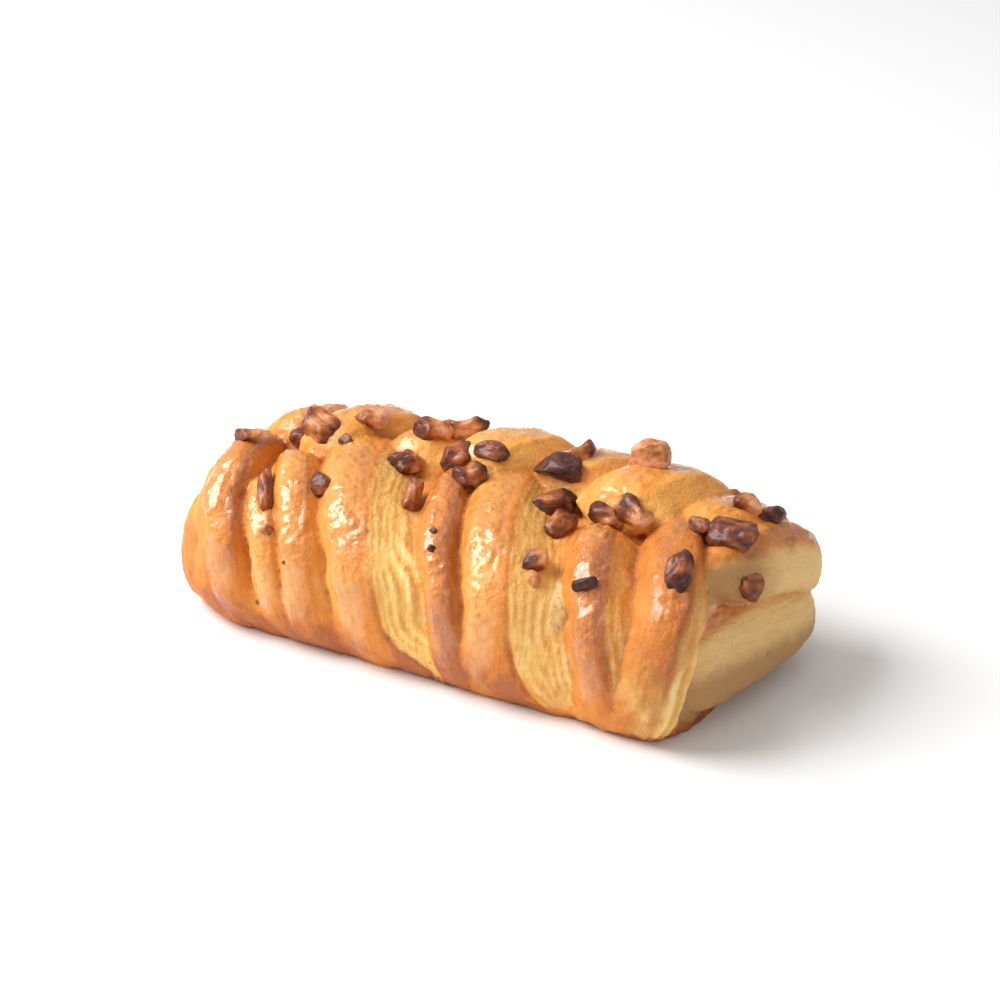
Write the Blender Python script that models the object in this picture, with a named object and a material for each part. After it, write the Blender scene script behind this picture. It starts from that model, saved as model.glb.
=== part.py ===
"""A pecan braid: a loaf-shaped danish of two rows of dough strips folded over a filling, topped with pecans.

The shapes are drawn in millimetres, larger than life, and main brings the finished pieces to the real size. +X runs
along the loaf to its open right end, -Y is the front row of strips, +Z is up, and the origin is the middle of the base.

A place on the loaf's surface is named by x along it and an angle in degrees round its section: 0 at the front at
mid height, 90 along the top and 180 at the back. The strips lie on that surface.
"""

import math
import random

import bmesh
import bpy
import numpy as np
from mathutils import Matrix, Vector
from mathutils.bvhtree import BVHTree

MM = 0.001
SIZE = 0.92
GAP = 0.33

# The loaf: a rounded box section, widest at WIDEST_AT above the base, that keeps its width nearly to its ends.
FRONT_HALF_WIDTH, BACK_HALF_WIDTH = 36.5, 39.0
HEIGHT = 46.0
WIDEST_AT = 19.0
SECTION_POWER = 2.5
LEFT_END, RIGHT_END = -75.5, 67.0
END_POWER = 9.0
BELOW_BASE = 1.38
CORE_INSET = 7.0

# Strips: they start under the base's edge, stand STRIP_DEPTH out of the core and end in a rounded tip on top.
STRIP_START = -48
STRIP_DEPTH = 9.0
BASE_DEPTH = 3.5
TIP_LENGTH = 9.0
STRIP_RINGS = 20
FLANK_STEPS, CRUST_STEPS, CUT_STEPS = 12, 6, 14
LAYER_RELIEF, LAYER_WIDTH = 0.5, 3.5

# Each strip: x of its crest at -30, 30 and 90 degrees, the angle where its tip ends, the widths of its left flank,
# of its crust right of the crest and of its pale cut side, and how far it stands above the plain loaf.
FRONT_STRIPS = (
    dict(crest=(-68.0, -69.2, -73.5), tip=84, flank=12.5, crust=4.0, cut=3.0, lift=0.0),
    dict(crest=(-46.5, -56.0, -69.0), tip=86, flank=7.0, crust=5.0, cut=2.5, lift=0.0),
    dict(crest=(-41.0, -45.0, -62.0), tip=87, flank=6.5, crust=5.5, cut=4.5, lift=0.0),
    dict(crest=(-22.5, -28.0, -44.0), tip=106, flank=9.5, crust=7.0, cut=13.0, lift=0.5),
    dict(crest=(4.5, -1.3, -13.0), tip=104, flank=6.5, crust=6.0, cut=2.5, lift=0.0),
    dict(crest=(15.5, 13.0, -1.0), tip=112, flank=6.5, crust=6.0, cut=11.0, lift=0.5),
    dict(crest=(47.0, 42.0, 30.0), tip=88, flank=9.0, crust=5.0, cut=7.0, lift=0.0),
    dict(crest=(52.8, 62.0, 51.0), tip=106, flank=7.5, crust=8.0, cut=4.0, lift=0.0),
)
BACK_STRIPS = (
    dict(crest=(-58.0, -62.0, -70.0), tip=88, flank=10.0, crust=5.0, cut=3.0, lift=0.5),
    dict(crest=(-40.0, -46.0, -55.0), tip=92, flank=10.0, crust=8.0, cut=5.0, lift=3.5),
    dict(crest=(-18.0, -25.0, -35.0), tip=86, flank=10.0, crust=7.0, cut=8.0, lift=2.5),
    dict(crest=(4.0, -3.0, -12.0), tip=88, flank=12.0, crust=9.0, cut=7.0, lift=6.5),
    dict(crest=(26.0, 20.0, 11.0), tip=84, flank=12.0, crust=8.0, cut=9.0, lift=6.0),
    dict(crest=(44.0, 40.0, 31.0), tip=91, flank=13.0, crust=10.0, cut=10.0, lift=6.5),
    dict(crest=(55.0, 58.0, 53.0), tip=90, flank=13.0, crust=8.0, cut=8.0, lift=2.0),
)

# Rolls of dough that close the ends: points on the middle line with half the height and half the thickness there,
# and the way the roll faces. The right end has an upper and a lower lip with a crease between them.
END_ROLLS = (
    dict(
        name="upper lip",
        facing=(1, 0.2, 0.35),
        line=(
            (68, 37.5, 20, 7, 5.5),
            (70, 30, 27.5, 8.5, 6.5),
            (68.5, 18, 33, 9.5, 7),
            (66, 3, 36, 8.5, 7),
            (62, -12, 39, 4, 5),
        ),
    ),
    dict(
        name="lower lip",
        facing=(1, 0, 0.4),
        line=(
            (60.5, -24, 19, 15, 5.5),
            (64.5, -10, 18, 13.5, 6.5),
            (67.5, 6, 15.5, 11.5, 7),
            (70, 22, 13, 8.5, 7),
            (68.5, 36.5, 11.5, 7.5, 7),
        ),
    ),
    dict(
        name="left end",
        facing=(-1, 0, 0.15),
        line=(
            (-67, -31, 13, 10, 6),
            (-75.5, -18, 18, 15, 7),
            (-77, 0, 20, 16, 7.5),
            (-74.5, 19, 18, 15, 7),
            (-64, 32, 14, 11, 6),
        ),
    ),
)
ROLL_RINGS = 22
ROLL_END_RINGS = 4

# One skin is laid over the joined dough, then thinned out.
VOXEL = 1.25
SMOOTHING = 3
DOUGH_TRIANGLES = 5500

# The middle of the drawn pastry's box, which becomes the origin.
MIDDLE = (-3.7, 3.1)

# Filling: a roll along the middle, with a bump where it shows between two strips. Each ball: x, y, z, radii.
FILLING_BALLS = (
    ((1, 0, 21), (58, 12, 9)),
    ((31, -19, 26), (4.5, 10, 9)),
    ((48.5, -11, 31), (4, 6, 8.5)),
)
FILLING_SMOOTHING = 14
FILLING_TRIANGLES = 420

# Pecan pieces: x, y; length, width, height; heading of the length from +X; lean of its top towards the front (or
# towards the way it faces); pitch of its length; kind.
PECANS = (
    (-55.6, 3.5, 12.0, 8.0, 7.0, -20, 30, -6, "half"),
    (-62.0, 3.5, 7.5, 5.0, 4.5, -15, 20, 0, "chunk"),
    (-45.3, 9.6, 9.5, 5.5, 5.0, 25, 0, 0, "chunk"),
    (-27.5, 12.8, 10.0, 7.0, 6.5, 30, 0, 0, "lobed"),
    (-18.5, 17.0, 11.5, 5.5, 5.5, 30, 0, 10, "lobed"),
    (-30.5, 2.5, 9.5, 7.5, 6.5, 50, 20, 0, "lobed"),
    (-21.4, -9.5, 12.0, 4.8, 5.0, 100, 35, 0, "lobed"),
    (-17.5, 5.1, 9.5, 8.0, 6.5, 40, 20, 0, "half"),
    (-6.4, 7.0, 9.5, 6.0, 5.0, -7, 20, 0, "half"),
    (-8.3, -2.2, 8.5, 6.5, 5.5, 45, 25, 0, "lobed"),
    (-42.8, -17.4, 6.8, 5.6, 4.5, 105, 30, 0, "chunk"),
    (11.8, 9.5, 13.0, 7.5, 6.5, 12, 25, 0, "chunk"),
    (17.0, 15.5, 8.5, 4.5, 4.5, 60, 0, 15, "lobed"),
    (13.5, 0.5, 12.5, 6.5, 6.0, 35, 20, 0, "half"),
    (20.6, -5.0, 8.0, 6.5, 6.0, 40, 25, 0, "chunk"),
    (22.7, -22.0, 6.5, 5.0, 4.5, 27, 30, 0, "chunk"),
    (33.0, -2.5, 10.0, 5.5, 5.0, -9, 25, 0, "half"),
    (38.2, 0.5, 11.5, 6.5, 6.5, -30, 20, 0, "lobed"),
    (33.4, 17.0, 10.5, 7.0, 7.5, 15, 0, 0, "half"),
    (40.3, -28.2, 6.5, 3.4, 3.0, 28, 40, 0, "chunk"),
    (61.7, -19.4, 13.0, 7.5, 5.0, 105, 30, 0, "half"),
    (65.2, 3.6, 12.5, 9.5, 7.0, 20, 25, 0, "chunk"),
    (68.2, 19.5, 8.0, 5.0, 5.0, 45, 0, 0, "lobed"),
    (62.0, 17.5, 7.0, 5.0, 5.0, 30, 0, 0, "chunk"),
    (57.0, 1.5, 6.5, 5.0, 4.5, -40, 20, 0, "chunk"),
    (-70.5, -9.5, 6.5, 4.5, 4.0, 20, 25, 10, "chunk"),
    (-57.0, -24.8, 12.5, 4.0, 4.0, 118, 40, 0, "lobed"),
    (-52.0, 34.5, 9.0, 6.0, 5.0, 30, -45, 0, "half"),
    (-33.0, 35.0, 8.0, 6.0, 5.0, 80, -50, 0, "chunk"),
    (2.0, 38.0, 10.0, 6.0, 5.0, -35, -45, 0, "lobed"),
    (22.0, 38.0, 7.5, 6.0, 5.0, 10, -50, 0, "chunk"),
    (39.0, 38.0, 9.5, 6.5, 5.5, 50, -45, 0, "half"),
)
END_PECANS = (
    # In the mouth of the right end: y, z and the rest as above, leaning towards +X.
    (-2.0, 34.5, 7.0, 6.0, 5.0, 80, 62, 0, "chunk"),
)
SINK = 0.27
PECAN_TRIANGLES = 96

# Chips too small to be their own piece, fused to the dough: x, y, size.
CHIPS = (
    (-47.0, 0.4, 3.6),
    (-51.1, -32.4, 2.8),
    (24.6, -26.3, 3.8),
    (-10.0, 36.0, 3.4),
    (51.0, 33.0, 3.6),
)


def signed_power(value, power):
    return math.copysign(abs(value) ** power, value)


def smooth(value, low, high):
    """Goes from 0 at low to 1 at high, level at both."""
    t = min(max((value - low) / (high - low), 0.0), 1.0)
    return t * t * (3 - 2 * t)


def unit(vector):
    vector = np.array(vector, float)
    return vector / np.linalg.norm(vector)


def curve_through(points, steps):
    """A smooth run of rows through the given ones (Catmull-Rom)."""
    points = [np.array(p, float) for p in points]
    points = [2 * points[0] - points[1], *points, 2 * points[-1] - points[-2]]
    spans = len(points) - 3
    found = []
    for place in np.linspace(0, spans, steps):
        k = min(int(place), spans - 1)
        t = place - k
        a, b, c, d = points[k : k + 4]
        bend = (2 * a - 5 * b + 4 * c - d) * t**2 + (3 * b - a - 3 * c + d) * t**3
        found.append(0.5 * (2 * b + (c - a) * t + bend))
    return found


def end_scale(x):
    """How much of the full section the loaf has left at this x."""
    middle, half = (LEFT_END + RIGHT_END) / 2, (RIGHT_END - LEFT_END) / 2
    share = min(abs(x - middle) / half, 1.0)
    return (1 - share**END_POWER) ** (1 / END_POWER)


def loaf_point(x, angle, inset=0.0, scale=1.0):
    c, s = math.cos(math.radians(angle)), math.sin(math.radians(angle))
    half_width = FRONT_HALF_WIDTH if c > 0 else BACK_HALF_WIDTH
    rise = HEIGHT - WIDEST_AT - inset if s > 0 else BELOW_BASE * WIDEST_AT
    across = signed_power(c, 2 / SECTION_POWER) * (half_width - inset) * scale
    up = signed_power(s, 2 / SECTION_POWER) * rise * scale
    return np.array([x, -across, WIDEST_AT + up])


def loaf_normal(angle):
    """Outward, square to the section's outline."""
    along = loaf_point(0, angle + 1) - loaf_point(0, angle - 1)
    return unit([0.0, -along[2], along[1]])


def closed_loft(rings):
    """Points and faces of a tube through rings of equal length, with a fan closing each end."""
    size = len(rings[0])
    points = [p for ring in rings for p in ring]
    faces = []
    for i in range(len(rings) - 1):
        for j in range(size):
            k = (j + 1) % size
            faces.append((i * size + j, i * size + k, (i + 1) * size + k, (i + 1) * size + j))
    last = (len(rings) - 1) * size
    for ring, start, step in ((rings[0], 0, -1), (rings[-1], last, 1)):
        centre = len(points)
        points.append(np.mean(ring, axis=0))
        for j in range(size):
            pair = (start + j, start + (j + 1) % size)
            faces.append((centre, *pair[::step]))
    return points, faces


def core_rings():
    """The plain loaf under the strips: inset where they lie, full size along its base."""
    rings = []
    for x in np.linspace(LEFT_END + 1.5, RIGHT_END - 1.5, 36):
        ring = []
        for angle in range(0, 360, 10):
            inset = CORE_INSET * smooth(math.sin(math.radians(angle)), -0.9, 0.1)
            ring.append(loaf_point(x, angle, inset, end_scale(x)))
        rings.append(ring)
    return rings


def strip_section(flank, crust, cut, depth):
    """(across, down) round a strip: rounded left flank, crust, cut side stepped by its layers, hidden underside."""
    edge = 0.16 * depth
    section = []
    for t in np.linspace(-1, 0, FLANK_STEPS, endpoint=False):
        section.append((t * flank, depth * abs(t) ** 2.1))
    for t in np.linspace(0, 1, CRUST_STEPS, endpoint=False):
        section.append((t * crust, edge * t**2))
    layers = round(cut / LAYER_WIDTH)
    for t in np.linspace(0, 1, CUT_STEPS + 1):
        step = LAYER_RELIEF * math.sin(2 * math.pi * layers * t)
        section.append((crust + t * cut, edge + (depth - edge) * t**1.15 + step))
    section += [(crust * 0.6, depth + 5), (-flank * 0.6, depth + 5)]
    return section


def strip_rings(strip, back):
    """Rings of one strip from under the loaf's edge, up its side, to its tip on top."""
    crest_x = np.polyfit((-30, 30, 90), strip["crest"], 2)
    angles = np.linspace(STRIP_START, strip["tip"], STRIP_RINGS)

    def place(angle):
        return 180 - angle if back else angle

    def crest(angle):
        lift = strip["lift"] * smooth(angle, 0, 50)
        return loaf_point(np.polyval(crest_x, angle), place(angle)) + lift * loaf_normal(place(angle))

    crests = [crest(angle) for angle in angles]
    steps = [np.linalg.norm(after - before) for before, after in zip(crests, crests[1:])]
    to_tip = sum(steps) - np.cumsum([0, *steps])
    rings = []
    for angle, at, left_over in zip(angles, crests, to_tip):
        out = loaf_normal(place(angle))
        across = unit(np.cross(out, crest(angle + 1) - crest(angle - 1)))
        across = across if across[0] > 0 else -across
        near_tip = min(left_over / TIP_LENGTH, 1.0)
        roundness = math.sqrt(1 - (1 - near_tip) ** 2)
        width = 0.4 + 0.6 * roundness
        full_depth = BASE_DEPTH + (STRIP_DEPTH - BASE_DEPTH) * smooth(angle, -45, 30)
        dive = 0.12 * (1 - smooth(left_over, 0, 2 * TIP_LENGTH)) + 0.88 * (1 - roundness)
        sink = dive * (full_depth - 0.5)
        depth = max(full_depth - sink, 1.5)
        section = strip_section(strip["flank"] * width, strip["crust"] * width, strip["cut"] * width, depth)
        rings.append([at + across * aside - out * (down + sink) for aside, down in section])
    return rings


def roll_rings(roll):
    line = curve_through(roll["line"], ROLL_RINGS)
    rings = []
    for i, (x, y, z, half_height, half_thickness) in enumerate(line):
        along = unit(line[min(i + 1, ROLL_RINGS - 1)][:3] - line[max(i - 1, 0)][:3])
        facing = np.array(roll["facing"], float)
        facing = unit(facing - along * np.dot(facing, along))
        up = np.cross(along, facing)
        from_end = min(i, ROLL_RINGS - 1 - i, ROLL_END_RINGS) / ROLL_END_RINGS
        size = 0.25 + 0.75 * math.sqrt(1 - (1 - from_end) ** 2)
        ring = []
        for angle in range(0, 360, 20):
            c, s = math.cos(math.radians(angle)), math.sin(math.radians(angle))
            offset = up * half_height * signed_power(c, 0.8) + facing * half_thickness * signed_power(s, 0.8)
            ring.append(np.array([x, y, z]) + size * offset)
        rings.append(ring)
    return rings


def mesh_object(name, points, faces):
    """An object from points in millimetres, its faces turned outwards."""
    mesh = bpy.data.meshes.new(name)
    mesh.from_pydata([tuple(np.array(p) * MM) for p in points], [], faces)
    work = bmesh.new()
    work.from_mesh(mesh)
    bmesh.ops.recalc_face_normals(work, faces=work.faces[:])
    work.to_mesh(mesh)
    work.free()
    made = bpy.data.objects.new(name, mesh)
    bpy.context.scene.collection.objects.link(made)
    return made


def apply_modifiers(made):
    graph = bpy.context.evaluated_depsgraph_get()
    mesh = bpy.data.meshes.new_from_object(made.evaluated_get(graph))
    old = made.data
    made.modifiers.clear()
    made.data = mesh
    bpy.data.meshes.remove(old)


def one_skin(made, voxel, smoothing, triangles):
    """Lays one skin over the object's overlapping shells, and thins it out to this many triangles."""
    remesh = made.modifiers.new("One skin", "REMESH")
    remesh.mode = "VOXEL"
    remesh.voxel_size = voxel * MM
    soften = made.modifiers.new("Soften", "SMOOTH")
    soften.factor = 0.5
    soften.iterations = smoothing
    apply_modifiers(made)
    thin_out(made, triangles)


def thin_out(made, triangles):
    work = bmesh.new()
    work.from_mesh(made.data)
    bmesh.ops.triangulate(work, faces=work.faces[:])
    work.to_mesh(made.data)
    work.free()
    fewer = made.modifiers.new("Fewer faces", "DECIMATE")
    fewer.ratio = min(1.0, triangles / len(made.data.polygons))
    apply_modifiers(made)


def boolean(made, other, operation):
    """Joins or cuts the other object, which is then removed."""
    change = made.modifiers.new(operation.title(), "BOOLEAN")
    change.operation = operation
    change.object = other
    apply_modifiers(made)
    bpy.data.objects.remove(other)


def flatten_base(made):
    """Cuts the object off level at z = 0 and closes the cut."""
    work = bmesh.new()
    work.from_mesh(made.data)
    geometry = work.verts[:] + work.edges[:] + work.faces[:]
    cut = bmesh.ops.bisect_plane(work, geom=geometry, plane_no=(0, 0, 1), clear_inner=True)
    rim = [piece for piece in cut["geom_cut"] if isinstance(piece, bmesh.types.BMEdge)]
    bmesh.ops.contextual_create(work, geom=rim)
    bmesh.ops.triangulate(work, faces=work.faces[:])
    work.to_mesh(made.data)
    work.free()


def make_dough():
    shells = [core_rings()]
    shells += [strip_rings(strip, back=False) for strip in FRONT_STRIPS]
    shells += [strip_rings(strip, back=True) for strip in BACK_STRIPS]
    shells += [roll_rings(roll) for roll in END_ROLLS]
    points, faces = [], []
    for rings in shells:
        more_points, more_faces = closed_loft(rings)
        faces += [tuple(i + len(points) for i in face) for face in more_faces]
        points += more_points
    dough = mesh_object("dough", points, faces)
    one_skin(dough, VOXEL, SMOOTHING, DOUGH_TRIANGLES)
    flatten_base(dough)
    return dough


def ball(subdivisions):
    """Points and faces of a unit ball."""
    work = bmesh.new()
    bmesh.ops.create_icosphere(work, subdivisions=subdivisions, radius=1.0)
    points = [np.array(v.co) for v in work.verts]
    faces = [tuple(v.index for v in f.verts) for f in work.faces]
    work.free()
    return points, faces


def make_filling():
    points, faces = [], []
    ball_points, ball_faces = ball(4)
    for centre, radii in FILLING_BALLS:
        faces += [tuple(i + len(points) for i in face) for face in ball_faces]
        points += [np.array(centre) + p * np.array(radii) for p in ball_points]
    filling = mesh_object("filling", points, faces)
    one_skin(filling, VOXEL, FILLING_SMOOTHING, FILLING_TRIANGLES)
    return filling


def pecan_form(points, kind, draws):
    """Points of a unit ball made into a pecan piece that lies along X with its top up, in a box of side 1."""
    formed = []
    for p in points:
        x, y, z = p
        if kind == "half":
            # Part of a half nut: a furrow down its back, and shallow waves across it.
            swell = 1 + 0.1 * math.cos(7 * x + 6 * draws[0])
            furrow = 0.42 * math.exp(-((y / 0.24) ** 2)) * max(z, 0.0)
            p = np.array([x, y * swell, z * swell - furrow])
        elif kind == "lobed":
            # A curled piece: two or three knobs on a bent line.
            swell = 0.82 + 0.22 * math.cos(5.2 * x + 6 * draws[0])
            bend = (0.35 + 0.2 * draws[1]) * (x * x - 0.4)
            p = np.array([x, y * swell + bend, z * swell + 0.3 * bend])
        else:
            # A broken chunk: flat faces where it snapped.
            p = np.array([signed_power(value, 0.8) for value in p])
            for turn, rise, depth in zip(draws[:5], draws[2:], draws[4:]):
                facing = unit([math.cos(2 * math.pi * turn), math.sin(2 * math.pi * turn), 1.6 * rise - 0.5])
                over = float(np.dot(p, facing)) - (0.62 + 0.16 * depth)
                if over > 0:
                    p = p - 0.9 * over * facing
        formed.append(p)
    formed = np.array(formed)
    low, high = formed.min(axis=0), formed.max(axis=0)
    return (formed - (low + high) / 2) / (high - low)


def pecan_turn(heading, lean, pitch, facing_end):
    """Turns the piece's length to its heading, then leans its top to the front, or to +X in the right end."""
    lie = Matrix.Rotation(math.radians(heading), 3, "Z") @ Matrix.Rotation(math.radians(-pitch), 3, "Y")
    tilt = Matrix.Rotation(math.radians(lean), 3, "Y" if facing_end else "X")
    return np.array(tilt @ lie)


def surface_of(made):
    points = [v.co / MM for v in made.data.vertices]
    return BVHTree.FromPolygons(points, [tuple(f.vertices) for f in made.data.polygons])


def pecan_pieces(number, spec, surface, facing_end):
    """The piece itself, and a slightly larger copy that cuts its place in what it lies on."""
    first, second, length, width, height, heading, lean, pitch, kind = spec
    if facing_end:
        start, way = Vector((120, first, second)), Vector((-1, 0, 0))
    else:
        start, way = Vector((first, second, 120)), Vector((0, 0, -1))
    hit = surface.ray_cast(start, way)[0]
    turn = pecan_turn(heading, lean, pitch, facing_end)
    middle = np.array(hit) + turn @ np.array([0, 0, height * (0.5 - SINK)])
    rng = random.Random(number)
    draws = [rng.random() for _ in range(10)]
    points, faces = ball(4)
    points = pecan_form(points, kind, draws) * np.array([length, width, height]) @ turn.T + middle
    pecan = mesh_object(f"pecan_{number:02d}", points, faces)
    thin_out(pecan, PECAN_TRIANGLES)
    return pecan, grown_copy(pecan)


def add_chip(dough, surface, number, x, y, size):
    hit = np.array(surface.ray_cast(Vector((x, y, 120)), Vector((0, 0, -1)))[0])
    rng = random.Random(100 + number)
    points, faces = ball(2)
    draws = [rng.random() for _ in range(10)]
    points = pecan_form(points, "chunk", draws) * size * np.array([1.3, 1.0, 0.8]) + hit
    chip = mesh_object("chip", points, faces)
    thin_out(chip, 30)
    boolean(dough, chip, "UNION")


def finish(made, name, colour, roughness):
    material = bpy.data.materials.new(name)
    material.use_nodes = True
    shader = material.node_tree.nodes["Principled BSDF"]
    shader.inputs["Base Color"].default_value = (*colour, 1.0)
    shader.inputs["Roughness"].default_value = roughness
    shader.inputs["Metallic"].default_value = 0.0
    made.data.materials.clear()
    made.data.materials.append(material)
    made.data.shade_smooth()
    made.data.set_sharp_from_angle(angle=math.radians(40))


def clear_scene():
    for made in list(bpy.data.objects):
        bpy.data.objects.remove(made)


def grown_copy(made):
    """A copy whose skin stands off by at least the gap, to cut the object's place out of another."""
    grown = bpy.data.objects.new(f"room for {made.name}", made.data.copy())
    bpy.context.scene.collection.objects.link(grown)
    for vertex in grown.data.vertices:
        vertex.co += vertex.normal * 2 * GAP * MM
    return grown


def overlaps(made, other, margin=GAP * MM):
    """Whether the two objects' boxes come closer than the margin."""
    one = np.array([v.co for v in made.data.vertices])
    two = np.array([v.co for v in other.data.vertices])
    return bool(np.all(one.min(0) - margin < two.max(0)) and np.all(two.min(0) - margin < one.max(0)))


def main():
    clear_scene()
    dough = make_dough()
    surface = surface_of(dough)
    filling = make_filling()
    for number, chip in enumerate(CHIPS):
        add_chip(dough, surface, number, *chip)
    boolean(dough, grown_copy(filling), "DIFFERENCE")
    places = []
    pecans = []
    specs = [(spec, False) for spec in PECANS] + [(spec, True) for spec in END_PECANS]
    for number, (spec, facing_end) in enumerate(specs, 1):
        pecan, place = pecan_pieces(number, spec, surface, facing_end)
        for other in places:
            if overlaps(pecan, other):
                cutter = other.copy()
                bpy.context.scene.collection.objects.link(cutter)
                boolean(pecan, cutter, "DIFFERENCE")
        pecans.append(pecan)
        places.append(place)
    for place in places:
        boolean(dough, place, "DIFFERENCE")
    finish(dough, "glazed crust", (0.56, 0.27, 0.07), 0.3)
    finish(filling, "custard filling", (0.55, 0.5, 0.22), 0.35)
    for pecan in pecans:
        finish(pecan, "roast pecan", (0.13, 0.04, 0.02), 0.3)
    to_origin = Matrix.Translation((-MIDDLE[0] * MM, -MIDDLE[1] * MM, 0.0))
    for made in [dough, filling, *pecans]:
        made.data.transform(Matrix.Scale(SIZE, 4) @ to_origin)


main()
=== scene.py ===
# %% [markdown]
# # A pecan braid, dressed
#
# A pecan braid is a loaf of laminated danish dough. Strips cut from both long sides are folded over a custard
# filling, brushed with glaze and strewn with broken pecans before it is baked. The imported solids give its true
# size and form. This lesson lays a finer skin over the same form, with the blisters, flaky layers, colours and
# gloss that the solids are too coarse to hold.

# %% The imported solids
import math
import random

import bmesh
import bpy
import numpy as np
from mathutils import Matrix, Vector, noise
from mathutils.bvhtree import BVHTree


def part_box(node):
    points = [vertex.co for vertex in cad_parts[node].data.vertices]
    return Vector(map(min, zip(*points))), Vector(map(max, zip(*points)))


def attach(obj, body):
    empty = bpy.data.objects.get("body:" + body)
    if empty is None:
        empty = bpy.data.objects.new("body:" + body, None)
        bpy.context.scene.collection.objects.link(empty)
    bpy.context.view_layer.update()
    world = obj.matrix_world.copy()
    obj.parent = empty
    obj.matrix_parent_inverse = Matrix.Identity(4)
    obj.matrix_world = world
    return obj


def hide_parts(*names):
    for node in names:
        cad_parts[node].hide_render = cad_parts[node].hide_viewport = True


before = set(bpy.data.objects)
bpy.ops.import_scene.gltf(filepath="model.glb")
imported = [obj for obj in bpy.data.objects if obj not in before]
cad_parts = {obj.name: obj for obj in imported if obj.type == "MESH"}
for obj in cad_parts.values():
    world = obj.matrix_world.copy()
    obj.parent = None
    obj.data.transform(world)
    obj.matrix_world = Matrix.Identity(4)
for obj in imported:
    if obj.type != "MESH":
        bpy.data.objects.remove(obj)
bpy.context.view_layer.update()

# %% [markdown]
# ## Drawing units
#
# The pastry was measured on a drawing in millimetres that is a little larger than life, with an origin of its own.
# All the shapes below are worked out on that drawing, as they were for the solids, and one function brings points
# to the real size in metres. That keeps the numbers easy to compare with a ruler laid on the photograph.

# %% From the drawing to the scene
MM = 0.001
SIZE = 0.92
MIDDLE = np.array([-3.7, 3.1, 0.0])


def to_scene(points):
    return (np.asarray(points, float) - MIDDLE) * SIZE * MM


def to_drawing(points):
    return np.asarray(points, float) / (SIZE * MM) + MIDDLE


def smooth(value, low, high):
    """Goes from 0 at low to 1 at high, level at both. It takes single values and whole arrays."""
    t = np.clip((value - low) / (high - low), 0.0, 1.0)
    return t * t * (3 - 2 * t)


def unit(vector):
    return np.array(vector, float) / np.linalg.norm(vector)


def signed_power(value, power):
    return np.sign(value) * np.abs(value) ** power


print("one drawn millimetre is", SIZE, "mm in the scene")

# %% [markdown]
# ## The plain loaf
#
# Under its strips the loaf is a rounded box: a superellipse whose exponent sets how square the shoulders are. A
# place on it is named by x along the loaf and an angle round the section, 0 at the front, 90 on top, 180 behind.
# Each strip is then drawn on this surface, so it follows the loaf without any hand placing.

# %% Section of the loaf
FRONT_HALF_WIDTH, BACK_HALF_WIDTH = 36.5, 39.0
HEIGHT = 46.0
WIDEST_AT = 19.0
SECTION_POWER = 2.5
LEFT_END, RIGHT_END = -75.5, 67.0
END_POWER = 9.0
BELOW_BASE = 1.38
CORE_INSET = 7.0
CORE_INSET_BETWEEN = (-0.85, 0.2)


def cos_sin(degrees):
    return math.cos(math.radians(degrees)), math.sin(math.radians(degrees))


def end_scale(x):
    """How much of the full section the loaf has left at this x."""
    middle, half = (LEFT_END + RIGHT_END) / 2, (RIGHT_END - LEFT_END) / 2
    share = min(abs(x - middle) / half, 1.0)
    return (1 - share**END_POWER) ** (1 / END_POWER)


def loaf_point(x, angle, inset=0.0, scale=1.0):
    c, s = cos_sin(angle)
    half_width = FRONT_HALF_WIDTH if c > 0 else BACK_HALF_WIDTH
    rise = HEIGHT - WIDEST_AT - inset if s > 0 else BELOW_BASE * WIDEST_AT
    across = signed_power(c, 2 / SECTION_POWER) * (half_width - inset) * scale
    up = signed_power(s, 2 / SECTION_POWER) * rise * scale
    return np.array([x, -across, WIDEST_AT + up])


def loaf_normal(angle):
    """Outward, square to the section's outline."""
    along = loaf_point(0, angle + 1) - loaf_point(0, angle - 1)
    return unit([0.0, -along[2], along[1]])


print("the loaf is", FRONT_HALF_WIDTH + BACK_HALF_WIDTH, "wide and", HEIGHT, "high on the drawing")

# %% [markdown]
# ## Strips of dough
#
# Every strip has a rounded left flank, a crest, a browned crust and a pale cut side where its layers show. One
# section shape carries all of that, and sweeping it from under the base to a rounded tip gives the strip. No two
# strips of real dough are alike, so a little noise moves each crest and changes its width on the way up.
#
# Each row below gives a strip's measures. The crest's x is read at three angles: 30 degrees under the widest line,
# 30 over it, and on top. The tip is the angle where the strip ends. The flank and the cut side have two widths
# each, for the foot and for higher up, and the sweep is how much wider the crust becomes at the foot. The lift
# raises the strip over the loaf. Pale and baked say how light its cut side is, and how brown its crust.

# %% The strips' measures
STRIP_START = -68
STRIP_DEPTH = 9.0
BASE_DEPTH = 1.6
TIP_LENGTH = 9.0
STRIP_RINGS = 84
FLANK_STEPS, CRUST_STEPS, CUT_STEPS = 22, 12, 22
FLANK_CURVE, CUT_CURVE = 2.1, 1.15
EDGE_DROP = 0.16
BURIED = 5.0
STRIP_MEASURES = ("crest", "tip", "flank", "crust", "cut", "sweep", "lift", "pale", "baked")


def strips(*rows):
    return [dict(zip(STRIP_MEASURES, row)) for row in rows]


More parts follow.
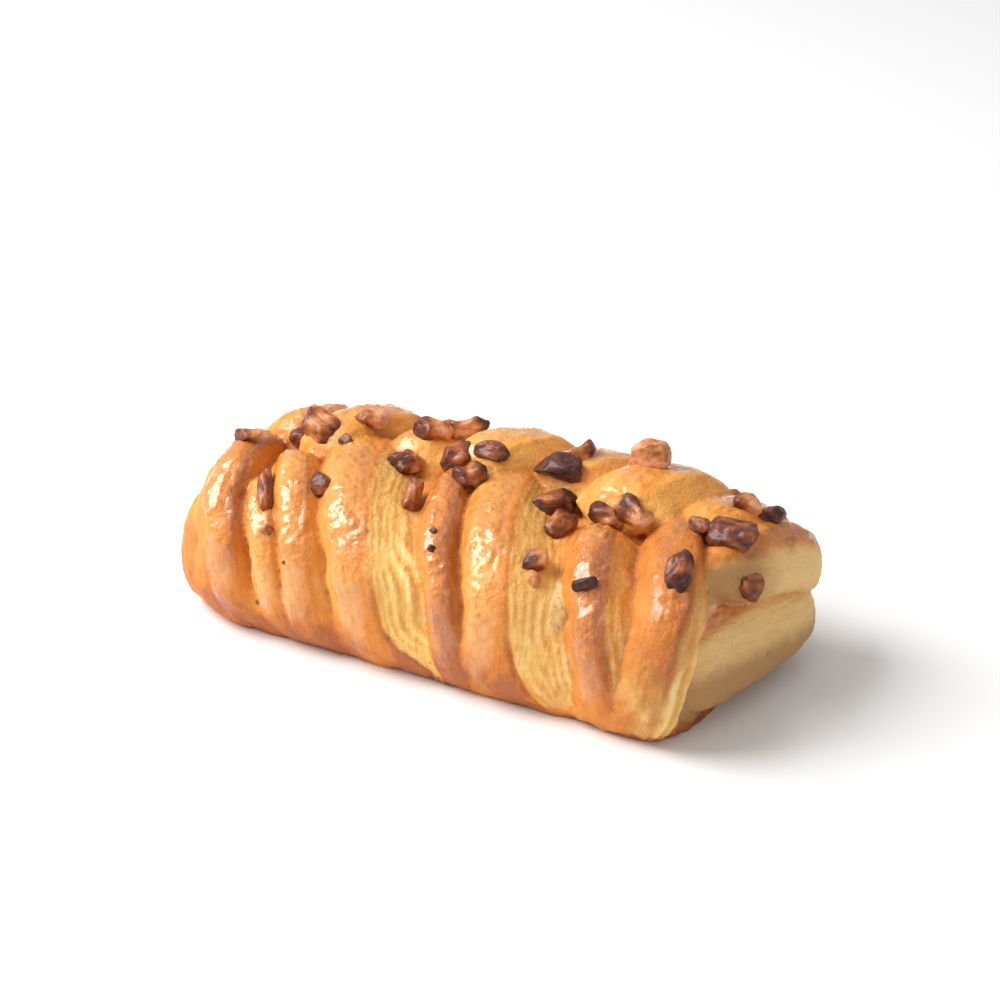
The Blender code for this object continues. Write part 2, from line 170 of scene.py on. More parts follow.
FRONT_STRIPS = strips(
    ((-60.0, -67.0, -73.0), 93, (14.0, 7.5), 4.5, (3.5, 3.5), 4.0, -0.5, 0.1, 0.6),
    ((-45.5, -55.5, -68.0), 70, (7.0, 7.0), 4.0, (3.0, 3.0), 0.0, -2.6, 0.45, 0.4),
    ((-41.0, -45.0, -62.0), 87, (6.5, 6.5), 5.5, (5.0, 4.5), 5.0, 0.0, 0.35, 0.5),
    ((-22.5, -28.0, -44.0), 106, (9.5, 9.5), 7.0, (16.0, 11.0), 12.0, 0.5, 0.9, 0.48),
    ((5.0, -1.8, -13.0), 104, (5.0, 7.5), 4.4, (2.0, 2.5), 0.0, 0.0, 0.3, 0.72),
    ((13.0, 12.2, -1.0), 112, (8.5, 8.5), 7.5, (16.0, 10.5), 12.0, 0.5, 0.75, 0.45),
    ((47.0, 42.0, 30.0), 88, (7.0, 9.0), 5.0, (7.5, 7.5), 0.0, 0.0, 0.5, 0.74),
    ((52.8, 61.5, 51.0), 106, (10.0, 10.0), 6.8, (5.0, 2.6), 0.0, 0.0, 0.55, 0.66),
)
BACK_STRIPS = strips(
    ((-58.0, -62.0, -70.0), 88, (10.0, 10.0), 5.0, (3.0, 3.0), 0.0, 0.5, 0.3, 0.5),
    ((-40.0, -46.0, -55.0), 92, (10.0, 10.0), 8.0, (5.0, 5.0), 0.0, 3.5, 0.3, 0.4),
    ((-18.0, -25.0, -35.0), 86, (10.0, 10.0), 7.0, (8.0, 8.0), 0.0, 2.5, 0.35, 0.38),
    ((4.0, -3.0, -12.0), 88, (12.0, 12.0), 9.0, (7.0, 7.0), 0.0, 6.5, 0.3, 0.26),
    ((26.0, 20.0, 11.0), 84, (12.0, 12.0), 8.0, (9.0, 9.0), 0.0, 6.0, 0.3, 0.27),
    ((44.0, 40.0, 31.0), 91, (13.0, 13.0), 10.0, (10.0, 10.0), 0.0, 6.5, 0.3, 0.34),
    ((55.0, 58.0, 53.0), 90, (13.0, 13.0), 8.0, (8.0, 8.0), 0.0, 2.0, 0.3, 0.42),
)
print(len(FRONT_STRIPS), "strips in front,", len(BACK_STRIPS), "behind")

# %% [markdown]
# Each point of a strip also notes where it lies: how far along the strip, how far across from the crest, its share
# of the cut side, its share of the flank, and how far it is past the crust's edge. Those notes let the relief and
# the colours follow the dough, instead of lying over it like a printed cloth.

# %% One strip, ring by ring
NOTES = ("along", "across", "cut_side", "flank_side", "past_edge")
NO_EDGE = -99.0


def strip_section(flank, crust, cut, depth):
    """Rows of across, down, share of the cut side and share of the flank, once round the strip."""
    edge = EDGE_DROP * depth
    section = []
    for t in np.linspace(-1, 0, FLANK_STEPS, endpoint=False):
        section.append((t * flank, depth * abs(t) ** FLANK_CURVE, 0.0, -t))
    for t in np.linspace(0, 1, CRUST_STEPS, endpoint=False):
        section.append((t * crust, edge * t**2, 0.0, 0.0))
    for t in np.linspace(0, 1, CUT_STEPS + 1):
        section.append((crust + t * cut, edge + (depth - edge) * t**CUT_CURVE, t, 0.0))
    section.append((crust * 0.6, depth + BURIED, 1.0, 0.0))
    section.append((-flank * 0.6, depth + BURIED, 0.0, 1.0))
    return section


def strip_rings(strip, back, seed):
    """Rings of points of one strip, from under the loaf's edge to its tip on top, and the notes of each point."""
    crest_x = np.polyfit((-30, 30, 90), strip["crest"], 2)
    angles = np.linspace(STRIP_START, strip["tip"], STRIP_RINGS)

    def place(angle):
        return 180 - angle if back else angle

    def crest(angle):
        drift = 0.9 * noise.noise(Vector((angle / 28, seed, 0)))
        lift = strip["lift"] * smooth(angle, 0, 50) + 0.7 * noise.noise(Vector((angle / 22, seed, 5)))
        return loaf_point(np.polyval(crest_x, angle) + drift, place(angle)) + lift * loaf_normal(place(angle))

    crests = [crest(angle) for angle in angles]
    steps = [np.linalg.norm(after - before) for before, after in zip(crests, crests[1:])]
    along = np.cumsum([0, *steps])
    rings, notes = [], []
    for angle, at, run in zip(angles, crests, along):
        out = loaf_normal(place(angle))
        across = unit(np.cross(out, crest(angle + 1) - crest(angle - 1)))
        across = across if across[0] > 0 else -across
        left_over = along[-1] - run
        near_tip = min(left_over / TIP_LENGTH, 1.0)
        roundness = math.sqrt(1 - (1 - near_tip) ** 2)
        flank = np.interp(angle, (-30, 90), strip["flank"])
        cut = np.interp(angle, (-30, 30), strip["cut"])
        crust = strip["crust"] + strip["sweep"] * np.clip((12 - angle) / 45, 0, 1) ** 2
        width = (0.4 + 0.6 * roundness) * (1 + 0.12 * noise.noise(Vector((angle / 18, seed, 9))))
        full_depth = BASE_DEPTH + (STRIP_DEPTH - BASE_DEPTH) * smooth(angle, -45, 30)
        dive = 0.12 * (1 - smooth(left_over, 0, 2 * TIP_LENGTH)) + 0.88 * (1 - roundness)
        sink = dive * (full_depth - 0.5)
        depth = max(full_depth - sink, 1.5)
        ring, ring_notes = [], []
        section = strip_section(flank * width, crust * width, cut * width, depth)
        for aside, down, cut_share, flank_share in section:
            ring.append(at + across * aside - out * (down + sink))
            ring_notes.append((run, aside, cut_share, flank_share, aside - crust * width))
        rings.append(ring)
        notes.append(ring_notes)
    return rings, notes


one_strip, _ = strip_rings(FRONT_STRIPS[3], False, 3)
print("a strip has", len(one_strip), "rings of", len(one_strip[0]), "points")

# %% [markdown]
# ## Core and end rolls
#
# The core is the loaf itself, drawn in where the strips lie. The ends are closed by rolls of dough: a superellipse
# swept along a smooth curve. At the right end an upper lip folds over a lower one, with a deep crease between.

# %% Core and rolls
# A roll's line runs through rows of x, y and z, with half its height and half its thickness there.
END_ROLLS = (
    dict(
        name="upper lip",
        facing=(1, 0.2, 0.35),
        line=(
            (68, 37.5, 20, 7, 5.5),
            (70, 30, 27.5, 8.5, 6.5),
            (68.5, 18, 33, 9.5, 7),
            (66, 3, 36, 8.5, 7),
            (62, -12, 39, 4, 5),
        ),
    ),
    dict(
        name="lower lip",
        facing=(1, 0, 0.4),
        line=(
            (60.5, -24, 19, 15, 5.5),
            (64.5, -10, 18, 13.5, 6.5),
            (67.5, 6, 15.5, 11.5, 7),
            (70, 22, 13, 8.5, 7),
            (68.5, 36.5, 11.5, 7.5, 7),
        ),
    ),
    dict(
        name="left end",
        facing=(-1, 0, 0.15),
        line=(
            (-68.5, -31, 14, 12, 7.5),
            (-78.5, -18, 16.5, 15, 7.5),
            (-80.5, 0, 17, 15, 8),
            (-75.5, 19, 17, 14, 7),
            (-64, 32, 14, 10.5, 6),
        ),
    ),
)
ROLL_RINGS = 70
ROLL_END_SHARE = 0.19


def curve_through(points, steps):
    """A smooth run of rows through the given ones (Catmull-Rom)."""
    points = [np.array(p, float) for p in points]
    points = [2 * points[0] - points[1], *points, 2 * points[-1] - points[-2]]
    spans = len(points) - 3
    found = []
    for place in np.linspace(0, spans, steps):
        k = min(int(place), spans - 1)
        t = place - k
        a, b, c, d = points[k : k + 4]
        bend = (2 * a - 5 * b + 4 * c - d) * t**2 + (3 * b - a - 3 * c + d) * t**3
        found.append(0.5 * (2 * b + (c - a) * t + bend))
    return found


def roll_rings(roll):
    """Rings and notes of an end roll, where across is the distance from its middle line."""
    line = curve_through(roll["line"], ROLL_RINGS)
    rings, notes = [], []
    run = 0.0
    for i, (x, y, z, half_height, half_thickness) in enumerate(line):
        along = unit(line[min(i + 1, ROLL_RINGS - 1)][:3] - line[max(i - 1, 0)][:3])
        run += np.linalg.norm(line[i][:3] - line[max(i - 1, 0)][:3])
        facing = np.array(roll["facing"], float)
        facing = unit(facing - along * np.dot(facing, along))
        up = np.cross(along, facing)
        from_end = min(min(i, ROLL_RINGS - 1 - i) / (ROLL_END_SHARE * ROLL_RINGS), 1.0)
        size = 0.25 + 0.75 * math.sqrt(1 - (1 - from_end) ** 2)
        ring, ring_notes = [], []
        for angle in range(0, 360, 6):
            c, s = cos_sin(angle)
            offset = up * half_height * signed_power(c, 0.8) + facing * half_thickness * signed_power(s, 0.8)
            ring.append(np.array([x, y, z]) + size * offset)
            ring_notes.append((run, -c * half_height * size, 0.0, 0.0, NO_EDGE))
        rings.append(ring)
        notes.append(ring_notes)
    return rings, notes


def core_rings():
    """The plain loaf under the strips: inset where they lie, full size along its base."""
    rings, notes = [], []
    for x in np.linspace(LEFT_END + 1.5, RIGHT_END - 1.5, 90):
        ring, ring_notes = [], []
        for angle in range(0, 360, 4):
            inset = CORE_INSET * smooth(math.sin(math.radians(angle)), *CORE_INSET_BETWEEN)
            ring.append(loaf_point(x, angle, inset, end_scale(x)))
            ring_notes.append((x, angle / 10, 0.0, 0.0, NO_EDGE))
        rings.append(ring)
        notes.append(ring_notes)
    return rings, notes


print("end rolls:", ", ".join(roll["name"] for roll in END_ROLLS))

# %% [markdown]
# ## One skin over everything
#
# The core, strips and rolls are separate closed tubes that run into each other. A voxel remesh lays one even skin
# over them, as baking does to dough, and a short smoothing takes away its stair steps. Joining the tubes with
# Booleans would also work, but it leaves long thin triangles that a fine relief can't be pushed out of.

# %% Tubes into one mesh
VOXEL = 0.62
SMOOTHING = 3


def tube(rings):
    """Points and faces of a tube through rings of equal length, with a fan closing each end."""
    size = len(rings[0])
    points = [p for ring in rings for p in ring]
    faces = []
    for i in range(len(rings) - 1):
        for j in range(size):
            k = (j + 1) % size
            faces.append((i * size + j, i * size + k, (i + 1) * size + k, (i + 1) * size + j))
    last = (len(rings) - 1) * size
    for ring, start, step in ((rings[0], 0, -1), (rings[-1], last, 1)):
        centre = len(points)
        points.append(np.mean(ring, axis=0))
        for j in range(size):
            pair = (start + j, start + (j + 1) % size)
            faces.append((centre, *pair[::step]))
    return points, faces


def mesh_object(name, points, faces):
    """An object from points on the drawing, with its faces turned outwards."""
    mesh = bpy.data.meshes.new(name)
    mesh.from_pydata([tuple(p) for p in to_scene(points)], [], faces)
    work = bmesh.new()
    work.from_mesh(mesh)
    bmesh.ops.recalc_face_normals(work, faces=work.faces[:])
    work.to_mesh(mesh)
    work.free()
    made = bpy.data.objects.new(name, mesh)
    bpy.context.scene.collection.objects.link(made)
    return made


def apply_modifiers(made):
    graph = bpy.context.evaluated_depsgraph_get()
    mesh = bpy.data.meshes.new_from_object(made.evaluated_get(graph))
    old = made.data
    made.modifiers.clear()
    made.data = mesh
    bpy.data.meshes.remove(old)


def one_skin(made, voxel, smoothing):
    remesh = made.modifiers.new("One skin", "REMESH")
    remesh.mode = "VOXEL"
    remesh.voxel_size = voxel * SIZE * MM
    soften = made.modifiers.new("Soften", "SMOOTH")
    soften.factor = 0.5
    soften.iterations = smoothing
    apply_modifiers(made)


BACK_SEEDS = 20
CORE, FIRST_BACK = 0, 1 + len(FRONT_STRIPS)
UPPER_LIP = FIRST_BACK + len(BACK_STRIPS)
LOWER_LIP, LEFT_ROLL = UPPER_LIP + 1, UPPER_LIP + 2
tubes = [core_rings()]
tubes += [strip_rings(strip, False, seed) for seed, strip in enumerate(FRONT_STRIPS)]
tubes += [strip_rings(strip, True, seed + BACK_SEEDS) for seed, strip in enumerate(BACK_STRIPS)]
tubes += [roll_rings(roll) for roll in END_ROLLS]
tube_points, tube_faces, tube_notes, tube_piece = [], [], [], []
for piece, (rings, notes) in enumerate(tubes):
    points, faces = tube(rings)
    tube_faces += [tuple(i + len(tube_points) for i in face) for face in faces]
    tube_points += points
    flat = [row for ring in notes for row in ring]
    tube_notes += flat + [flat[0], flat[-1]]
    tube_piece += [piece] * len(points)
dough = mesh_object("braided_dough", tube_points, tube_faces)
one_skin(dough, VOXEL, SMOOTHING)
print("the skin has", len(dough.data.vertices), "points over", len(tubes), "tubes")

# %% [markdown]
# ## What each point of the skin belongs to
#
# The skin has forgotten which strip it covers. A search tree over the tubes finds the nearest face for each point,
# and the notes of that face's corners, weighed by nearness, come across. The depth of grooves comes from the mesh
# itself: a point that lies below the average of its neighbourhood is in one. Dough slumps on the tray, so the foot
# of the loaf is softened first.

# %% Notes brought across to the skin
def read(items, key, width, kind=float):
    """A row of numbers for each point or edge of a mesh."""
    found = np.empty(len(items) * width, kind)
    items.foreach_get(key, found)
    return found.reshape(-1, width)


def points_of(made):
    return to_drawing(read(made.data.vertices, "co", 3))


def set_points(made, points):
    made.data.vertices.foreach_set("co", to_scene(points).ravel())
    made.data.update()


def normals_of(made):
    return read(made.data.vertices, "normal", 3)


def edges_of(made):
    return read(made.data.edges, "vertices", 2, int)


def neighbour_mean(values, edges, rounds):
    """Values on points, averaged with those of the neighbouring points this many times."""
    shape = np.shape(values)
    values = np.array(values, float).reshape(len(values), -1)
    one, two = edges.T
    count = np.bincount(edges.ravel(), minlength=len(values)) + 1
    for _ in range(rounds):
        total = values.copy()
        for k in range(values.shape[1]):
            total[:, k] += np.bincount(one, values[two, k], len(values))
            total[:, k] += np.bincount(two, values[one, k], len(values))
        values = total / count[:, None]
    return values.reshape(shape)


def hollowness(points, normals, edges, rounds):
    """How far each point lies below the average of its neighbourhood, which is wider with more rounds."""
    return np.einsum("ij,ij->i", neighbour_mean(points, edges, rounds) - points, normals)


OFF_THE_STRIPS = 3.5
outer_faces = [face for face in tube_faces if tube_piece[face[0]] != CORE]
tube_tree = BVHTree.FromPolygons([tuple(p) for p in tube_points], outer_faces)
corners = np.array([face if len(face) == 4 else (*face, face[0]) for face in outer_faces])
tube_points, tube_notes, tube_piece = np.array(tube_points), np.array(tube_notes), np.array(tube_piece)


def notes_at(points):
    """For each point: the nearest strip's or roll's number, or the core's if all are far, and the notes there."""
    found = [tube_tree.find_nearest(Vector(p))[2:] for p in points]
    near = corners[[face for face, _ in found]]
    far = np.array([distance for _, distance in found]) > OFF_THE_STRIPS
    weight = 1 / (np.sum((tube_points[near] - points[:, None]) ** 2, axis=2) + 1e-4)
    weight /= weight.sum(axis=1, keepdims=True)
    notes = np.einsum("ij,ijk->ik", weight, tube_notes[near])
    return np.where(far, CORE, tube_piece[near[:, 0]]), dict(zip(NOTES, notes.T))


skin = points_of(dough)
edges = edges_of(dough)
foot = 1 - smooth(skin[:, 2], 6.0, 24.0)
skin += (0.65 * foot)[:, None] * (neighbour_mean(skin, edges, 20) - skin)
set_points(dough, skin)
normals = normals_of(dough)
piece, note = notes_at(skin)
hollow = hollowness(skin, normals, edges, 14)
print(f"deepest groove {hollow.max():.2f} and sharpest edge {-hollow.min():.2f}")

# %% [markdown]
# ## Relief
#
# Five things make the surface read as baked dough. Slow swells come from uneven proving. Blisters stand on the
# glazed crests. The cut sides are stepped like the edge of a book, one step for each fold of butter. The edge of
# each crust stands up as a thin rim with a groove under it. And fine wrinkles run along every strip. The steps and
# wrinkles are measured along and across the strip rather than in space, so they bend with it.

# %% Noises over many points
STRIPS = FRONT_STRIPS + BACK_STRIPS


def many(function, points, *more):
    return np.array([function(Vector(p), *more) for p in points])


def fractal(points, size, octaves=3):
    """Soft noise from about -1 to 1 whose largest lumps are this many drawn millimetres across."""
    return many(noise.fractal, np.asarray(points) / size, 0.9, 2.0, octaves)


def blisters(points, size):
    """Round bumps from 0 to 1: one dome in most cells of the given size."""
    found = many(lambda p: noise.voronoi(p)[0][0], np.asarray(points) / size)
    return 1 - smooth(found, 0.0, 0.55)


def stretched(note, piece, along, across):
    """Places for a noise whose lumps are drawn out along the strip: its sizes along and across, in mm."""
    return np.column_stack([note["along"] / along, note["across"] / across, 17.0 * piece])


def per_strip(piece, key, elsewhere):
    """The strips' own value of this key at each point, and another value on the core and the rolls."""
    values = np.full(len(tubes), float(elsewhere))
    values[CORE + 1 : UPPER_LIP] = [np.mean(strip[key]) for strip in STRIPS]
    return values[piece]


def zones(piece, note):
    """Masks of the cut sides, the flanks and the glazed crests."""
    on_strip = (piece > CORE) & (piece < UPPER_LIP)
    cut = smooth(note["past_edge"], 0.0, 1.2) * on_strip
    flank = smooth(note["flank_side"], 0.55, 0.95) * on_strip
    crest = on_strip * (1 - smooth(np.abs(note["across"] - 1.2), 2.5, 7.0)) * (1 - cut)
    return on_strip, cut, flank, crest


def strip_noises(piece, note):
    """Fine streaks along the strips, and the slow warp that bends their layers."""
    streak = fractal(stretched(note, piece, 9.0, 1.25), 1.0, 3)
    warp = fractal(stretched(note, piece, 40.0, 8.0), 1.0, 2)
    return streak, warp


on_strip, cut, flank, crest = zones(piece, note)
on_lips = (piece == UPPER_LIP) | (piece == LOWER_LIP)
streak, warp = strip_noises(piece, note)
print(f"share of the skin on strips {on_strip.mean():.2f}, on their cut sides {cut.mean():.2f}")

# %% Steps of the layers
LAYER = 2.3


def layer_steps(piece, note, warp, streak):
    """A saw-tooth from 0 to 1 across the strip: a slow rise over each layer and a sharp drop at its edge."""
    fanned = note["cut_side"] * per_strip(piece, "cut", 0) + note["across"] * (note["cut_side"] == 0)
    place = fanned / LAYER + 0.8 * warp + 0.08 * streak
    saw = place - np.floor(place)
    return smooth(saw, 0.0, 0.7) * (1 - smooth(saw, 0.75, 1.0))


step = layer_steps(piece, note, warp, streak)
strength = smooth(fractal(skin + 90, 9.0, 2), -0.45, 0.35) * (0.1 + per_strip(piece, "pale", 0.4))
strength *= 1 - 0.6 * smooth(skin[:, 2], 26.0, 40.0)
layered = np.maximum.reduce([cut * strength, 0.1 * flank * strength, 0.1 * on_lips])


def edge_lines(piece, note, warp, height):
    """The rim of each crust, and the groove that runs under it over the lower half, which the colours also darken as
    painted shadow.
    """
    rim = np.exp(-(((note["past_edge"] + 0.5) / 0.7) ** 2))
    groove = np.exp(-(((note["past_edge"] - 0.8) / 0.55) ** 2)) * smooth(warp, -0.5, 0.1)
    return rim, groove * (1 - smooth(height, 16.0, 30.0)) * smooth(per_strip(piece, "pale", 0), 0.4, 0.7)


rim, under_edge = edge_lines(piece, note, warp, skin[:, 2])
print("layers every", LAYER, "mm on the cut sides")

# %% Push the skin out
swell = fractal(skin, 10.0, 2)
lumps = fractal(skin + 70, 4.2, 2)
grain = fractal(skin, 1.9, 2)
dome = blisters(skin, 2.6) * smooth(fractal(skin + 20, 7.0, 1), -0.2, 0.35)
fine_dome = blisters(skin + 40, 1.4) * smooth(fractal(skin + 60, 6.0, 1), -0.1, 0.4)
relief = 0.36 * swell + 0.24 * lumps * (1 - 0.5 * cut) + 0.1 * grain
relief += crest * (0.5 * dome + 0.36 * fine_dome - 0.1) * (0.5 + 0.5 * smooth(skin[:, 2], 4.0, 16.0))
relief += layered * (0.5 * step - 0.25) + 0.16 * rim - 0.5 * under_edge
relief += 0.35 * cut * per_strip(piece, "pale", 0.4) * fractal(stretched(note, piece, 48.0, 4.5) + 5, 1.0, 1)
relief += (1 - 0.75 * cut) * 0.13 * streak
relief += 0.5 * (1 - smooth(skin[:, 2], 1.0, 7.0)) * fractal(skin + 130, 5.0, 2)
relief -= 0.3 * smooth(hollow, 0.12, 0.8)
skin = skin + relief[:, None] * normals
set_points(dough, skin)
print(f"relief from {relief.min():.2f} to {relief.max():.2f} mm")

# %% [markdown]
# ## Flat base
#
# The loaf was baked on a tray, so it is cut off level. The cut is closed with one flat face. After that the mesh
# is thinned where it is smooth, which is mostly the base and the plain sides.

# %% Cut level and thin out
DOUGH_TRIANGLES = 185000


def flatten_base(made):
    work = bmesh.new()
    work.from_mesh(made.data)
    geometry = work.verts[:] + work.edges[:] + work.faces[:]
    cut_through = bmesh.ops.bisect_plane(work, geom=geometry, plane_no=(0, 0, 1), clear_inner=True)
    rim = [part for part in cut_through["geom_cut"] if isinstance(part, bmesh.types.BMEdge)]
    bmesh.ops.contextual_create(work, geom=rim)
    bmesh.ops.triangulate(work, faces=work.faces[:])
    work.to_mesh(made.data)
    work.free()


flatten_base(dough)
fewer = dough.modifiers.new("Fewer faces", "DECIMATE")
fewer.ratio = min(1.0, DOUGH_TRIANGLES / len(dough.data.polygons))
apply_modifiers(dough)
print("the dough has", len(dough.data.polygons), "triangles")

# %% [markdown]
# ## Where the colours go
#
# The finished skin gets its notes again, and from them the masks that the material reads as attributes: how pale
# or how baked the dough is, how much glaze lies on it, how deep it is in a groove, where the layers' own lines and
# the lips are, and how much painted shade darkens the dough. Masks on points are cheap, and they show in every view.

# %% Notes on the finished skin
skin = points_of(dough)
normals = normals_of(dough)
edges = edges_of(dough)
piece, note = notes_at(skin)
on_strip, cut, flank, crest = zones(piece, note)
hollow = hollowness(skin, normals, edges, 6)
wide_hollow = hollowness(skin, normals, edges, 40)
streak, warp = strip_noises(piece, note)
step = layer_steps(piece, note, warp, streak)
patches = fractal(skin, 13.0, 3)
small_patches = fractal(skin + 50, 4.5, 3)
x, y, height = skin.T
rim, under_edge = edge_lines(piece, note, warp, height)
print("notes for", len(skin), "points")

# %% Places on the skin
on_upper, on_lower, on_left = piece == UPPER_LIP, piece == LOWER_LIP, piece == LEFT_ROLL
on_lips = on_upper | on_lower
behind = (piece >= FIRST_BACK) * on_strip
in_front = (piece < FIRST_BACK) * on_strip
strip_pale = per_strip(piece, "pale", 0.6)
strip_baked = per_strip(piece, "baked", 0.4)
low_down = 1 - smooth(height + 3 * small_patches, 3.0, 19.0)
high_up = smooth(height, 24.0, 36.0)
foot_end = (piece == CORE) * smooth(x, 56.0, 62.0) * (1 - smooth(height, 16.0, 22.0))
lip_top = on_upper * smooth(-note["across"] + 1.2 * small_patches + 0.5 * streak, -0.8, 3.4)
lip_fold = on_lower * smooth(note["across"] - 0.8 - 0.2 * note["along"] + 1.2 * small_patches, -2.5, 2.0)
under_lip = on_lower * smooth(-note["across"] + 0.03 * note["along"] + 1.2 * small_patches, -1.0, 7.0)
cut_away = smooth(note["past_edge"] + 0.7 * streak + 1.4 * warp, -1.0, 2.4) * on_strip
cut_away *= smooth(height + 2 * small_patches, 0.5, 4.0)
last_foot = smooth(x + 1.5 * streak, 46.0, 61.0) * (1 - smooth(height + 5 * streak, 8.0, 34.0)) * on_strip * (y < 0)
last_foot *= smooth(height + small_patches, 0.5, 3.5)
# The side of each crust that falls away from the crest, which also faces away from the light.
lee = smooth(note["across"] / per_strip(piece, "crust", 99), 0.15, 0.9) * (1 - cut_away)
lee *= np.where(piece < FIRST_BACK, 1, 0.3)
print(f"share of the skin that is cut dough {cut_away.mean():.2f}")

# %% [markdown]
# Dough stays pale where it was cut or covered: on the cut sides, on both lips below their tops, and at the foot of
# the last strip in front. It is darker near the tray, and a little less pale on top, where the heat is.

# %% Pale dough
pale = strip_pale * np.maximum(cut_away, 0.45 * flank) + 0.35 * (1 - strip_baked) * (1 - cut_away) * on_strip
pale = np.where(on_lower, 1.0 - lip_fold, pale)
pale = np.where(on_upper, 0.9 - 0.9 * lip_top, pale)
pale = np.where(piece == CORE, 0.3, pale)
pale = np.where(on_left, 0.1, pale) - foot_end
pale *= 1 - 0.35 * smooth(height + 3 * small_patches, 28.0, 42.0) * on_strip
# Painted shadow: the groove under each crust's rim is made less pale.
pale += 0.14 * streak * np.maximum(cut, flank) + 0.12 * small_patches + 0.08 * patches - 0.7 * under_edge
pale += (0.55 + 0.9 * streak) * last_foot
pale -= 0.6 * low_down * (1 - 0.8 * cut_away * strip_pale) * (1 - on_lower) * (1 - 0.75 * last_foot)
print(f"mean pale {pale.mean():.2f}")

# %% [markdown]
# The crust browns unevenly: in patches near the tray, along the rim of the crust, and on top of the lips. Narrow
# creases and the groove under each crust's rim are browned darker as painted shade. The side of each strip that
# falls away from the crest, away from the light, is darker, partly by browning and partly as painted shade, and
# the lit flank is a little lighter, partly as painted light. The foot of the right end, the underside of the lower
# lip, the front of the upper one and the last crusts in front get painted shade, darker and greyer, which a mask
# of its own keeps.

# %% Browned dough and painted shade
# lee: darker partly by browning and partly as painted shade; the lit flank is a little lighter, partly as painted
# light.
baked = strip_baked + 0.22 * patches + 0.1 * small_patches + 0.12 * streak + 0.24 * lee - 0.12 * flank
baked += 0.42 * low_down * smooth(patches, -0.3, 0.25) * (1 - 0.7 * last_foot)
# Painted shade: narrow creases and the groove under each crust's rim are browned darker.
baked += 0.35 * smooth(hollow, 0.03, 0.3) + 0.3 * under_edge
baked += behind * (0.3 * streak * high_up + 0.26 * crest * smooth(y, 8.0, 24.0))
baked += (0.36 + 0.3 * streak) * lip_top + 0.1 * lip_fold + 0.22 * rim * on_strip * (1 - low_down)
baked += 0.4 * foot_end + 0.3 * on_left
# Painted shade: the underside and foot of the lower lip, the foot of the right end, the last strip's foot, the last
# crusts in front and the front of the upper lip.
shade = 0.9 * under_lip + 0.25 * on_lower * low_down + 0.6 * foot_end + (0.25 + 0.3 * warp) * last_foot
shade += 0.36 * in_front * smooth(x, 32.0, 44.0) * smooth(height, 8.0, 24.0) * (1 - cut_away)
shade += 0.95 * on_upper * (1 - smooth(y + 3 * small_patches, -4.0, 17.0)) * smooth(45 - height, 0.0, 6.0)
print(f"mean baked {baked.mean():.2f}, shade {shade.mean():.2f}")

# %% [markdown]
# Glaze is brushed on from above. It lies thick on the crests, and thin near the tray, on the cut sides, behind the
# top of the loaf and on the last strip.

# %% Glaze, grooves and layers
glaze = 0.15 + 0.75 * crest + 0.35 * smooth(height, 30, 42) - 0.6 * low_down - 0.35 * cut + 0.3 * small_patches
glaze -= 0.4 * lee + 0.72 * (piece >= FIRST_BACK) * (1 - smooth(y, 4.0, 18.0))
glaze -= 0.78 * smooth(x, 46.0, 55.0) * (y < 12)
glaze = np.where(on_lips, 0.1 + 0.6 * np.maximum(0.7 * lip_top, lip_fold), glaze)
# groove: how deep a point lies in a wide groove; the crust's colour darkens it there as painted shade.
groove = smooth(wide_hollow, 0.3, 1.8) * (1 - 0.5 * on_lips) * (1 - 0.4 * behind * high_up)
line_strength = np.maximum(cut, 0.3 * flank) * (0.2 + strip_pale) * (1 - 0.5 * smooth(height, 26, 40))
layer = (step - 0.5) * line_strength + 0.5


def keep_mask(made, name, values):
    values = np.clip(values, 0, 1).astype(np.float32)
    made.data.attributes.new(name, "FLOAT", "POINT").data.foreach_set("value", values)


mask_values = dict(pale=pale, baked=baked, glaze=glaze, groove=groove, layer=layer, lips=on_lips, shade=shade)
for name, values in mask_values.items():
    keep_mask(dough, name, neighbour_mean(values, edges, 3))
strip_places = dough.data.attributes.new("strip_place", "FLOAT_VECTOR", "POINT")
strip_places.data.foreach_set("vector", stretched(note, piece, 50.0, 4.0).astype(np.float32).ravel())
print(f"mean glaze {np.clip(glaze, 0, 1).mean():.2f}, groove {groove.mean():.2f}")

# %% [markdown]
# ## Shader maths as Python
#
# A material is a graph of small sums. Written node by node it is unreadable, so this class wraps one output socket
# and turns Python's operators into Math nodes: `1 - mask * 2` adds two nodes and returns the new socket. Colours go
# through Mix nodes instead, because a Math node would turn them grey. Short functions add the other nodes.

